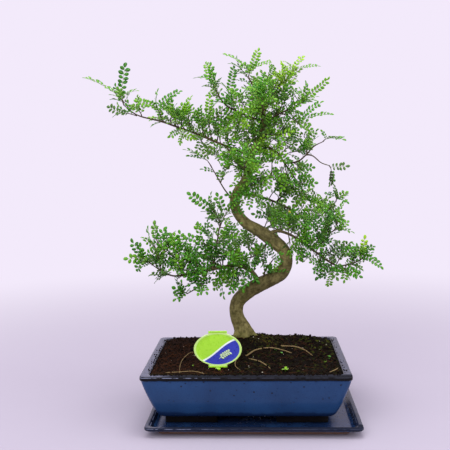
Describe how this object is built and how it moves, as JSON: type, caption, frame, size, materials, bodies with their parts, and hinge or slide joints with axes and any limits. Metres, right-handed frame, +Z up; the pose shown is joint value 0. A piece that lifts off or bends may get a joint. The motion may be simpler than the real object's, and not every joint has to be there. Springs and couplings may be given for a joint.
{
  "type": "japanese pepper bonsai",
  "caption": "Japanese pepper tree trained with a winding trunk and feathered leaves, in a rectangular glazed pot on its matching saucer.",
  "frame": {"origin": "middle of the pot, on the flat ground face of the saucer", "axes": "+X to the right along the pot's long side, +Y to its back, +Z up"},
  "size_m": [0.5498, 0.3375, 0.6731],
  "materials": {
    "pot_glaze": "glossy deep blue glaze with darker speckles and a near black edge on the rim",
    "saucer_glaze": "the same blue glaze, thin and dark along the edges",
    "soil": "moist dark peat with crumbs and fibres",
    "bark": "olive grey bark, mossy near the soil",
    "leaf": "glossy mid green leaflets",
    "young_leaf": "glossy yellow green new leaflets",
    "label_print": "printed green and blue plastic",
    "seedling_leaf": "soft bright green"
  },
  "bodies": {
    "root": {"pot": "pot_glaze", "saucer": "saucer_glaze", "soil": "soil", "trunk": "bark", "label": "label_print", "seedling": "seedling_leaf", "shoot_left_high_tip": "young_leaf", "shoot_left_high_outer": "leaf", "shoot_left_high_under": "leaf", "shoot_left_high_mid": "leaf", "shoot_left_high_lower": "leaf", "shoot_left_high_inner": "leaf", "shoot_left_high_back": "leaf", "shoot_left_high_front": "leaf", "shoot_left_low_tip": "leaf", "shoot_left_low_outer": "leaf", "shoot_left_low_rear": "leaf", "shoot_left_low_top": "leaf", "shoot_left_rise_mid": "leaf", "shoot_left_rise_tip": "leaf", "shoot_left_rise_back": "leaf", "shoot_left_low_front": "leaf", "shoot_left_low_under": "leaf", "shoot_left_low_hang": "leaf", "shoot_left_low_heart": "leaf", "shoot_centre_high": "leaf", "shoot_centre_back": "leaf", "shoot_centre_loop": "leaf", "shoot_right_low_tip": "leaf", "shoot_right_low_outer": "leaf", "shoot_right_low_under": "leaf", "shoot_right_low_rear": "leaf", "shoot_right_rise_tip": "leaf", "shoot_right_rise_front": "leaf", "shoot_right_low_inner": "leaf", "shoot_right_mid_inner": "leaf", "shoot_right_mid_back": "leaf", "shoot_right_mid_tip": "leaf", "shoot_right_mid_upper": "leaf", "shoot_right_high_inner": "leaf", "shoot_right_high_tip": "leaf", "shoot_right_arm_tip": "leaf", "shoot_right_arm_mid": "leaf", "shoot_right_droop": "leaf", "shoot_left_mid_tip": "leaf", "shoot_left_thin_tip": "leaf", "shoot_left_up_tip": "young_leaf", "shoot_left_up_back": "leaf", "shoot_left_up_front": "leaf", "shoot_apex_tip": "young_leaf", "shoot_apex_right_tip": "young_leaf", "shoot_apex_right_front": "young_leaf", "shoot_right_up_tip": "young_leaf", "shoot_right_up_low": "leaf", "shoot_back_high_tip": "leaf", "shoot_back_top_tip": "leaf", "shoot_back_low_tip": "leaf", "shoot_front_high_tip": "leaf", "shoot_front_top_tip": "leaf"}
  },
  "joints": []
}
